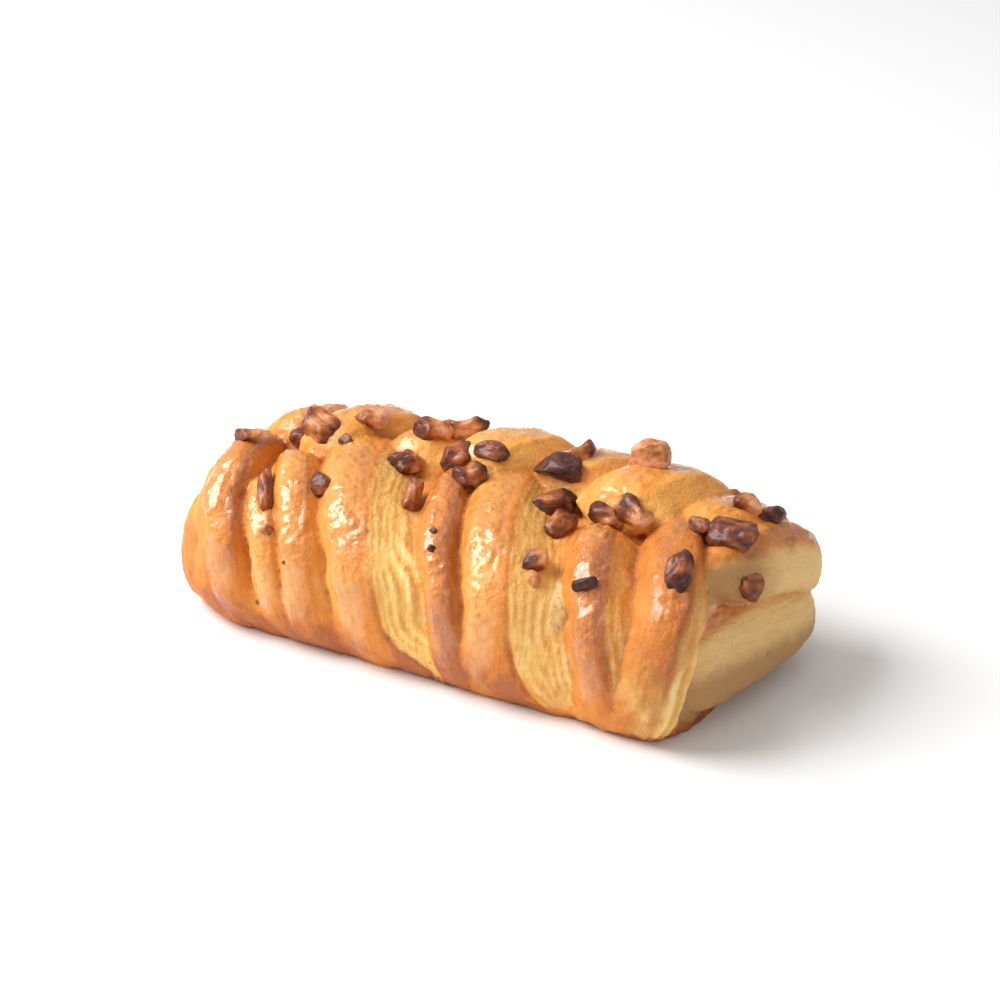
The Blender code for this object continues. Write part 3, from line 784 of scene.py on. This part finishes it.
# %% The socket class
class Wire:
    """An output socket of a material's nodes that can stand in a Python expression."""

    def __init__(self, tree, socket):
        self.tree = tree
        self.socket = socket

    @classmethod
    def node(cls, tree, kind, settings=None, inputs=None, output=0):
        """Adds a node: its settings first, then the values or wires of its sockets. Returns one output."""
        made = tree.nodes.new(kind)
        for name, value in (settings or {}).items():
            if name == "stops":
                ramp = made.color_ramp
                while len(ramp.elements) < len(value):
                    ramp.elements.new(1.0)
                for element, (position, colour) in zip(ramp.elements, value):
                    element.position = position
                    element.color = (*colour, 1.0)
            else:
                setattr(made, name, value)
        for name, value in (inputs or {}).items():
            if isinstance(value, Wire):
                tree.links.new(value.socket, made.inputs[name])
            else:
                made.inputs[name].default_value = value
        return cls(tree, made.outputs[output])

    def maths(self, operation, *others):
        return Wire.node(self.tree, "ShaderNodeMath", {"operation": operation}, dict(enumerate((self, *others))))

    def __add__(self, other):
        return self.maths("ADD", other)

    __radd__ = __add__

    def __sub__(self, other):
        return self.maths("SUBTRACT", other)

    def __rsub__(self, other):
        return Wire.node(self.tree, "ShaderNodeMath", {"operation": "SUBTRACT"}, {0: other, 1: self})

    def __mul__(self, other):
        return self.maths("MULTIPLY", other)

    __rmul__ = __mul__

    def between(self, low, high):
        """0 below low, 1 above high, smooth in between."""
        inputs = {"Value": self, "From Min": low, "From Max": high}
        return Wire.node(self.tree, "ShaderNodeMapRange", {"interpolation_type": "SMOOTHSTEP"}, inputs)

    def colour_mix(self, first, second, blend="MIX"):
        """The first colour where this wire is 0, the second where it is 1."""
        settings = {"data_type": "RGBA", "blend_type": blend}
        colours = [c if isinstance(c, Wire) else (*c, 1.0) for c in (first, second)]
        return Wire.node(self.tree, "ShaderNodeMix", settings, {0: self, 6: colours[0], 7: colours[1]}, output=2)


def new_finish(name):
    """A new material: its tree and its main shader."""
    material = bpy.data.materials.new(name)
    material.use_nodes = True
    return material, material.node_tree, material.node_tree.nodes["Principled BSDF"]


def place_in(tree):
    return Wire.node(tree, "ShaderNodeTexCoord", output="Object")


def attribute(tree, name, output="Fac"):
    return Wire.node(tree, "ShaderNodeAttribute", {"attribute_name": name}, output=output)


def noise_at(place, scale, detail):
    return Wire.node(place.tree, "ShaderNodeTexNoise", {}, {"Vector": place, "Scale": scale, "Detail": detail})


def cells_at(place, scale, feature="F1"):
    """How far it is to the nearest of many strewn points."""
    inputs = {"Vector": place, "Scale": scale}
    return Wire.node(place.tree, "ShaderNodeTexVoronoi", {"feature": feature}, inputs, "Distance")


def ramp(value, stops):
    return Wire.node(value.tree, "ShaderNodeValToRGB", {"stops": stops}, {"Fac": value}, "Color")


def bumps(height, strength, distance):
    inputs = {"Strength": strength, "Distance": distance, "Height": height}
    return Wire.node(height.tree, "ShaderNodeBump", {}, inputs, "Normal")


def feed(shader, **wires):
    """Links wires, or sets plain values, on the shader's sockets. Underscores stand for spaces."""
    for name, value in wires.items():
        socket = shader.inputs[name.replace("_", " ")]
        if isinstance(value, Wire):
            value.tree.links.new(value.socket, socket)
        else:
            socket.default_value = value


def dress(made, material):
    made.data.materials.append(material)
    made.data.shade_smooth()


print("socket class ready: wires add, subtract and multiply, go between two values and mix colours")

# %% [markdown]
# ## Crust and glaze
#
# The crust goes from straw yellow, where dough was protected, over golden orange to a deep brown near the tray.
# The cut sides are the inside of the dough: pale butter yellow with browned layer edges. Noise is added to the
# masks before they pick a colour, so that no border between two colours is even.

# %% Crust colours
crust, tree, shader = new_finish("glazed crust")
place = place_in(tree)
strip_place = attribute(tree, "strip_place", "Vector")
masks = {name: attribute(tree, name) for name in mask_values}
fine_streak = noise_at(strip_place, 5.0, 4.0)
mottle = noise_at(place, 420.0, 4.0)
freckle = noise_at(place, 1500.0, 2.0)
CRUST_STOPS = (
    (0.0, (0.84, 0.44, 0.11)),
    (0.3, (0.79, 0.34, 0.06)),
    (0.55, (0.71, 0.25, 0.034)),
    (0.8, (0.62, 0.19, 0.022)),
    (1.0, (0.44, 0.125, 0.03)),
)
PALE_STOPS = (
    (0.0, (0.62, 0.29, 0.05)),
    (0.35, (0.79, 0.43, 0.10)),
    (0.6, (0.87, 0.54, 0.17)),
    (1.0, (0.93, 0.70, 0.33)),
)
baked = masks["baked"] + 0.25 * (mottle - 0.5) + 0.5 * (fine_streak - 0.5) + 0.25 * (freckle - 0.5)
crust_colour = ramp(baked, CRUST_STOPS)
lines = (fine_streak - 0.5) * (1 - 0.8 * masks["lips"])
pale_tone = 0.45 + 0.8 * lines + 0.35 * (mottle - 0.5) + 1.3 * (masks["layer"] - 0.5)
pale_colour = ramp(pale_tone, PALE_STOPS)
pale_colour = (masks["lips"] * 0.6).colour_mix(pale_colour, (0.88, 0.60, 0.27))
bare = (masks["pale"] + 0.4 * (mottle - 0.5) + 0.3 * lines).between(0.05, 0.85)
colour = bare.colour_mix(crust_colour, pale_colour)
# Painted shade: wide grooves are darkened toward an olive brown.
colour = (masks["groove"] * 0.8).colour_mix(colour, (0.72, 0.45, 0.22), "MULTIPLY")
spots = (1 - cells_at(place, 130.0).between(0.05, 0.13)) * noise_at(place, 60.0, 1.0).between(0.5, 0.6)
colour = (spots * 0.6).colour_mix(colour, (0.34, 0.11, 0.035))
# Painted shade: the shade mask, with some mottle, multiplies the colour toward a grey-brown.
painted_shade_share = (masks["shade"] + 0.3 * (mottle - 0.5)).between(0.0, 1.0)
colour = painted_shade_share.colour_mix(colour, (0.55, 0.45, 0.38), "MULTIPLY")
feed(shader, Base_Color=colour)
print("crust colours use", len(tree.nodes), "nodes")

# %% [markdown]
# The glaze is a clear coat where it is thick enough, and dull crust shows where it is not. Small bubbles were caught
# in it and left pits. Warm light passes a little way through the dough, which keeps its shadows soft.

# %% Glaze on the crust
wet = (masks["glaze"] + 0.7 * (mottle - 0.5)).between(0.25, 0.75)
bubbles = cells_at(place, 520.0, "SMOOTH_F1")
height_map = 0.6 * mottle + 0.25 * freckle + 0.25 * fine_streak * bare - 0.5 * bubbles * wet
feed(shader, Roughness=0.6 - 0.22 * wet, Coat_Weight=wet, Normal=bumps(height_map, 0.8, 0.001))
feed(shader, Coat_Roughness=0.1, Coat_IOR=1.55, Specular_IOR_Level=0.42)
feed(shader, Subsurface_Weight=0.12, Subsurface_Scale=0.003)
dress(dough, crust)
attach(dough, "root")
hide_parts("dough")
print("crust material has", len(tree.nodes), "nodes")

# %% [markdown]
# ## Filling
#
# A custard filling runs through the loaf and shows in two gaps between the strips. It is lumpy and moist, with
# small brown specks. Three balls of custard melted into one by a remesh give its form, and noise the lumps.

# %% Filling
FILLING_BALLS = (
    ((1, 0, 21), (58, 12, 9)),
    ((31.5, -19.5, 26), (6.5, 10, 10)),
    ((48.5, -11, 31), (4, 6, 8.5)),
)
FILLING_VOXEL = 0.9
FILLING_SMOOTHING = 14
FINE_BALL, SMALL_BALL = 5, 4


def ball(subdivisions):
    """Points and faces of a unit ball."""
    work = bmesh.new()
    bmesh.ops.create_icosphere(work, subdivisions=subdivisions, radius=1.0)
    points = np.array([v.co for v in work.verts])
    faces = [tuple(v.index for v in f.verts) for f in work.faces]
    work.free()
    return points, faces


ball_points, ball_faces = ball(FINE_BALL)
points, faces = [], []
for centre, radii in FILLING_BALLS:
    faces += [tuple(i + len(points) for i in face) for face in ball_faces]
    points += [np.array(centre) + p * np.array(radii) for p in ball_points]
filling = mesh_object("custard", points, faces)
one_skin(filling, FILLING_VOXEL, FILLING_SMOOTHING)
custard_points = points_of(filling)
lumpy = 0.5 * fractal(custard_points, 2.4, 3) + 0.9 * fractal(custard_points + 9, 6.0, 1)
custard_points += lumpy[:, None] * normals_of(filling)
set_points(filling, custard_points)
custard, tree, shader = new_finish("custard filling")
place = place_in(tree)
speckle = noise_at(place, 900.0, 3.0)
colour = speckle.between(0.35, 0.6).colour_mix((0.56, 0.32, 0.095), (0.70, 0.43, 0.15))
colour = noise_at(place, 1000.0, 2.0).between(0.58, 0.68).colour_mix(colour, (0.42, 0.21, 0.08))
feed(shader, Base_Color=colour, Roughness=0.55, Coat_Weight=0.2, Coat_Roughness=0.2)
dress(filling, custard)
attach(filling, "root")
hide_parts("filling")
print("the filling has", len(filling.data.polygons), "faces")

# %% [markdown]
# ## Pecans
#
# The nuts were chopped before they were strewn, so the pieces are of three kinds: part of a half with the furrow
# down its back, a curled lobe, and a broken chunk with flat faces. Each is a ball pushed into that form, turned,
# and placed in the box of its solid. The same seeded draws as in the solids give each its own shape again, now
# with fine wrinkles. Fifteen are nudged by 1 to 3 mm, to where the photograph shows them.
#
# A pecan's skin is plum brown, and its broken flesh is amber, tan or salmon. So each piece has a tone, from 0 for
# dark skin to 1 for light flesh, and a pattern: lighter in the middle, lighter at one end, or even all over.

# %% The pecans' measures
# Length, width and height, then heading, lean and pitch in degrees, the kind, the tone and its pattern.
PECANS = (
    (12.0, 8.0, 7.0, -20, 30, -6, "half", 0.62, "middle"),
    (7.5, 5.0, 4.5, -15, 20, 0, "chunk", 0.42, "even"),
    (9.5, 5.5, 5.0, 25, 0, 0, "chunk", 0.72, "end"),
    (10.0, 7.0, 6.5, 30, 0, 0, "lobed", 0.66, "end"),
    (11.5, 5.5, 5.5, 30, 0, 10, "lobed", 0.7, "middle"),
    (9.0, 7.0, 6.5, 50, 20, 0, "half", 0.46, "end"),
    (12.0, 4.8, 5.0, 100, 35, 0, "lobed", 0.64, "even"),
    (9.5, 8.0, 6.5, 40, 20, 0, "half", 0.5, "middle"),
    (9.5, 6.0, 5.0, -7, 20, 0, "half", 0.42, "even"),
    (8.5, 6.5, 5.5, 45, 25, 0, "lobed", 0.45, "middle"),
    (6.8, 5.6, 4.5, 105, 30, 0, "chunk", 0.4, "even"),
    (13.0, 7.5, 6.5, 12, 25, 0, "chunk", 0.22, "even"),
    (9.5, 4.8, 4.8, 60, 0, 15, "lobed", 0.58, "middle"),
    (12.5, 6.5, 6.0, 35, 20, 0, "half", 0.4, "middle"),
    (8.2, 5.4, 6.0, 82, 25, 0, "chunk", 0.56, "middle"),
    (6.5, 5.0, 4.5, 27, 30, 0, "chunk", 0.5, "end"),
    (10.0, 5.5, 5.0, -9, 25, 0, "half", 0.42, "end"),
    (11.5, 6.5, 6.5, -30, 20, 0, "lobed", 0.56, "end"),
    (10.0, 7.0, 7.5, 15, 0, 0, "chunk", 0.9, "even"),
    (6.0, 3.2, 2.8, 28, 40, 0, "chunk", 0.16, "even"),
    (11.2, 6.4, 4.8, 105, 30, 0, "half", 0.36, "middle"),
    (12.5, 9.5, 7.0, 20, 25, 0, "chunk", 0.38, "even"),
    (8.0, 5.0, 5.0, 45, 0, 0, "lobed", 0.3, "even"),
    (7.0, 5.0, 5.0, 30, 0, 0, "chunk", 0.8, "end"),
    (6.5, 5.0, 4.5, -40, 20, 0, "chunk", 0.42, "even"),
    (6.5, 4.5, 4.0, 20, 25, 10, "chunk", 0.5, "end"),
    (12.5, 4.0, 4.0, 118, 40, 0, "half", 0.5, "even"),
    (9.0, 6.0, 5.0, 30, -45, 0, "half", 0.45, "middle"),
    (8.0, 6.0, 5.0, 80, -50, 0, "chunk", 0.5, "even"),
    (10.0, 6.0, 5.0, -35, -45, 0, "lobed", 0.4, "middle"),
    (7.5, 6.0, 5.0, 10, -50, 0, "chunk", 0.55, "end"),
    (9.5, 6.5, 5.5, 50, -45, 0, "half", 0.45, "even"),
    (6.2, 7.2, 5.0, 80, 62, 0, "chunk", 0.52, "even"),
)
# This one lies on the right end, so it leans about Y instead of X.
FACING_END = 33
PLUMPER = 1.08
NUDGES = {
    1: (-1.0, 0.0, -0.8),
    2: (0.0, -0.8, 1.0),
    5: (-2.0, 2.0, 1.1),
    6: (1.3, -0.3, -0.9),
    7: (1.6, -0.3, -1.0),
    8: (1.8, 0.8, 1.8),
    9: (0.0, 0.0, -0.8),
    10: (1.4, 0.0, 0.0),
    13: (-1.2, -1.0, -0.4),
    14: (1.2, 1.0, 0.8),
    18: (0.0, -2.0, -0.6),
    17: (-1.5, 2.0, 2.4),
    19: (0.0, 1.5, 0.4),
    26: (-1.5, 1.0, 2.4),
    27: (0.6, 2.6, -1.7),
}
print(len(PECANS), "pecans, tones from", min(p[7] for p in PECANS), "to", max(p[7] for p in PECANS))

# %% One pecan
def pecan_form(points, kind, draws):
    """Points of a unit ball made into a pecan piece that lies along X with its top up, in a box of side 1."""
    formed = []
    for p in points:
        p = signed_power(p, 0.66 if kind == "chunk" else 0.85)
        if kind == "chunk":
            for turn, rise, depth in zip(draws[:5], draws[2:], draws[4:]):
                facing = unit([math.cos(2 * math.pi * turn), math.sin(2 * math.pi * turn), 1.6 * rise - 0.5])
                over = float(np.dot(p, facing)) - (0.62 + 0.16 * depth)
                if over > 0:
                    p = p - 0.9 * over * facing
        else:
            for side, turn, cut in ((-1, draws[3], draws[4]), (1, draws[5], draws[6])):
                facing = unit([side, 1.6 * turn - 0.8, 0.5])
                over = float(np.dot(p, facing)) - (0.66 + 0.2 * cut)
                p = p - 0.85 * max(over, 0.0) * facing
            x, y, z = signed_power(p, (0.75, 1, 1))
            ridge = 0.1 * math.cos(4 * math.atan2(z, y) + 2.2 * math.sin(2.2 * x + 6 * draws[2]))
            waist = 0.16 * math.cos(5.2 * x + 6 * draws[0]) if kind == "lobed" else 0.0
            bend = (0.35 + 0.2 * draws[1]) * (x * x - 0.4) if kind == "lobed" else 0.0
            p = np.array([x, y * (0.95 + ridge + waist) + bend, z * (0.95 + ridge + waist) + 0.3 * bend])
        formed.append(p)
    formed = np.array(formed)
    low, high = formed.min(axis=0), formed.max(axis=0)
    return (formed - (low + high) / 2) / (high - low)


def pecan_turn(heading, lean, pitch, facing_end):
    lie = Matrix.Rotation(math.radians(heading), 3, "Z") @ Matrix.Rotation(math.radians(-pitch), 3, "Y")
    tilt = Matrix.Rotation(math.radians(lean), 3, "Y" if facing_end else "X")
    return np.array(tilt @ lie)


def make_pecan(number, spec):
    """A fine pecan near the middle of its solid's box."""
    length, width, height, heading, lean, pitch, kind, tone, pattern = spec
    low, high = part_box(f"pecan_{number:02d}")
    middle = to_drawing((low + high) / 2) + NUDGES.get(number, 0)
    turn = pecan_turn(heading, lean, pitch, number == FACING_END)
    rng = random.Random(number)
    draws = [rng.random() for _ in range(10)]
    form = pecan_form(ball_points, kind, draws) * np.array([length, width, height]) * PLUMPER
    wrinkle = fractal(form * (0.4, 1, 1) + 31 * number, 1.3, 3)
    lump = fractal(form + 17 * number, 3.2, 2)
    form = form * (1 + 0.05 * wrinkle + 0.06 * lump)[:, None]
    made = mesh_object(f"roast_pecan_{number:02d}", form @ turn.T + middle, ball_faces)
    end = form[:, 0] / length
    shift = {"middle": 0.26 - 1.1 * np.abs(end), "end": 0.8 * end, "even": 0 * end}[pattern]
    keep_mask(made, "tone", tone - 0.07 + 1.1 * shift + 0.3 * lump + 0.1 * wrinkle)
    keep_mask(made, "wrinkle", 0.5 + 0.5 * wrinkle)
    return made


pecans = [make_pecan(number, spec) for number, spec in enumerate(PECANS, 1)]
print("made", len(pecans), "pecans of", len(ball_faces), "triangles")

# %% Pecan material
roast, tree, shader = new_finish("roast pecan")
place = place_in(tree)
grain = noise_at(place, 800.0, 4.0)
tone = attribute(tree, "tone") + 0.5 * (grain - 0.5) + 0.1 * (attribute(tree, "wrinkle") - 0.5)
PECAN_STOPS = (
    (0.0, (0.04, 0.011, 0.009)),
    (0.28, (0.12, 0.03, 0.017)),
    (0.5, (0.27, 0.07, 0.024)),
    (0.75, (0.52, 0.19, 0.055)),
    (1.0, (0.76, 0.34, 0.17)),
)
feed(shader, Base_Color=ramp(tone, PECAN_STOPS), Roughness=0.5, Normal=bumps(grain, 0.6, 0.0006))
feed(shader, Specular_IOR_Level=0.18, Coat_Weight=0.4, Coat_Roughness=0.12)
for made in pecans:
    dress(made, roast)
    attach(made, "root")
    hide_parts(made.name.replace("roast_", ""))
print("pecan material has", len(tree.nodes), "nodes")

# %% [markdown]
# ## Chips and specks
#
# Five chips are too small to be pieces of their own, and are part of the dough in the solids. Here they get their
# own mesh, so that they can be brown. Four dark specks of nut skin stick to the front strips. A ray finds the
# place of each on the dough, from above for a chip and from outside the strip for a speck.

# %% Chips
# Chips: x, y, size, tone. Specks: strip number, angle, distance across, size, tone.
CHIPS = (
    (-47.0, 0.4, 3.6, 0.25),
    (-51.1, -31.4, 2.8, 0.6),
    (24.6, -26.3, 3.8, 0.8),
    (-10.0, 36.0, 3.4, 0.5),
    (51.0, 33.0, 3.6, 0.6),
)
SPECKS = (
    (4, 51, 0.4, 1.9, 0.12),
    (4, 41, 0.6, 1.8, 0.08),
    (0, -12, 9.0, 1.1, 0.3),
    (2, 12, -1.0, 1.0, 0.35),
)
ABOVE_ALL, OUTSIDE = 120, 20
surface = BVHTree.FromPolygons([tuple(p) for p in skin], [tuple(f.vertices) for f in dough.data.polygons])
chip_points, chip_faces = ball(SMALL_BALL)


def chips_object(name, chips):
    """One mesh of little chunks, from rows of place, size and tone."""
    points, faces, tones = [], [], []
    for number, (middle, size, tone) in enumerate(chips):
        rng = random.Random(100 + number)
        draws = [rng.random() for _ in range(10)]
        form = pecan_form(chip_points, "chunk", draws) * size * np.array([1.1, 1.0, 1.1])
        faces += [tuple(i + len(points) for i in face) for face in chip_faces]
        points += list(form + middle)
        tones += [tone] * len(form)
    made = mesh_object(name, points, faces)
    keep_mask(made, "wrinkle", 0.5 + 0.5 * fractal(points, 1.2))
    keep_mask(made, "tone", np.array(tones) + 0.2 * fractal(points, 2.0))
    dress(made, roast)
    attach(made, "root")
    return made


def on_top(x, y):
    return np.array(surface.ray_cast(Vector((x, y, ABOVE_ALL)), Vector((0, 0, -1)))[0])


def on_strip_at(number, angle, across):
    x = np.polyval(np.polyfit((-30, 30, 90), FRONT_STRIPS[number]["crest"], 2), angle) + across
    outside = loaf_point(x, angle) + OUTSIDE * loaf_normal(angle)
    return np.array(surface.ray_cast(Vector(outside), Vector(-loaf_normal(angle)))[0])


chips = chips_object("pecan_chips", [(on_top(x, y), size, tone) for x, y, size, tone in CHIPS])
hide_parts("dough")
chips_object("dark_specks", [(on_strip_at(*row[:3]), *row[3:]) for row in SPECKS])
print(len(CHIPS), "chips and", len(SPECKS), "specks")

# %% [markdown]
# ## Camera, floor and light
#
# The camera stands where the photograph was taken from: to the right of the front, looking a little down, with a
# long lens. A large soft light at the upper left gives the streaks on the glaze, and a pale room with a faint lamp
# at the right fills the rest.

# %% Camera
AZIMUTH, ELEVATION = math.radians(30), math.radians(26)
DISTANCE = 800.0
LENS = 112.0
back = Vector((
    math.sin(AZIMUTH) * math.cos(ELEVATION),
    -math.cos(AZIMUTH) * math.cos(ELEVATION),
    math.sin(ELEVATION),
))
target = Vector(to_scene((0.0, 0.0, 40.0)))
lens = bpy.data.cameras.new("photo camera")
lens.lens = LENS
lens.clip_start = 0.01
camera = bpy.data.objects.new("photo camera", lens)
camera.location = target + back * DISTANCE * SIZE * MM
camera.rotation_euler = (-back).to_track_quat("-Z", "Y").to_euler()
bpy.context.scene.collection.objects.link(camera)
bpy.context.scene.camera = camera
print("camera at", [round(1000 * v) for v in camera.location], "mm")

# %% Floor and light
bpy.ops.mesh.primitive_plane_add(size=4.0)
floor = bpy.context.object
floor.name = "floor"
paper, _, shader = new_finish("white paper")
feed(shader, Base_Color=(0.9, 0.9, 0.9, 1.0), Roughness=0.9)
floor.data.materials.append(paper)
ROOM_STRENGTH = 0.52
world = bpy.data.worlds.new("pale room")
world.use_nodes = True
world.node_tree.nodes["Background"].inputs["Color"].default_value = (1.0, 1.0, 1.0, 1.0)
world.node_tree.nodes["Background"].inputs["Strength"].default_value = ROOM_STRENGTH
bpy.context.scene.world = world
LIGHTS = (
    ("left window", (-0.58, -0.26, 0.69), 12.5, 0.68),
    ("right fill", (0.75, -0.45, 0.40), 0.4, 0.5),
)
LOAF_MIDDLE = Vector((0, 0, 0.02))
for name, stand, power, size in LIGHTS:
    lamp = bpy.data.lights.new(name, "AREA")
    lamp.energy = power
    lamp.size = size
    holder = bpy.data.objects.new(name, lamp)
    holder.location = stand
    holder.rotation_euler = (LOAF_MIDDLE - Vector(stand)).to_track_quat("-Z", "Y").to_euler()
    bpy.context.scene.collection.objects.link(holder)
bpy.context.scene.view_settings.view_transform = "Standard"
print("lights:", len(LIGHTS))
